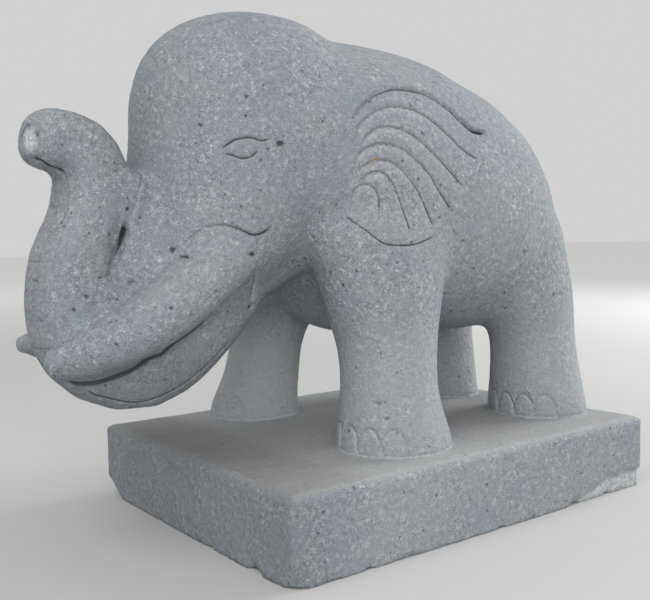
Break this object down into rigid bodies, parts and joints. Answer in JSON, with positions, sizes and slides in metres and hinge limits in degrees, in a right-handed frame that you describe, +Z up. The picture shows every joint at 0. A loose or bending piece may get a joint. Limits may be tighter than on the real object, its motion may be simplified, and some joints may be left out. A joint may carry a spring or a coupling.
{
  "type": "carved stone elephant sculpture",
  "caption": "Carved volcanic stone elephant with a raised trunk, tusks and incised ears, standing on a rectangular plinth of the same block.",
  "frame": {"origin": "centre of the plinth's flat underside", "axes": "+Z up, -X the way the elephant faces, -Y its left side"},
  "size_m": [0.493, 0.294, 0.3982],
  "materials": {
    "stone": "matt, finely pitted volcanic stone"
  },
  "bodies": {
    "root": {"elephant_on_plinth": "stone"}
  },
  "joints": []
}
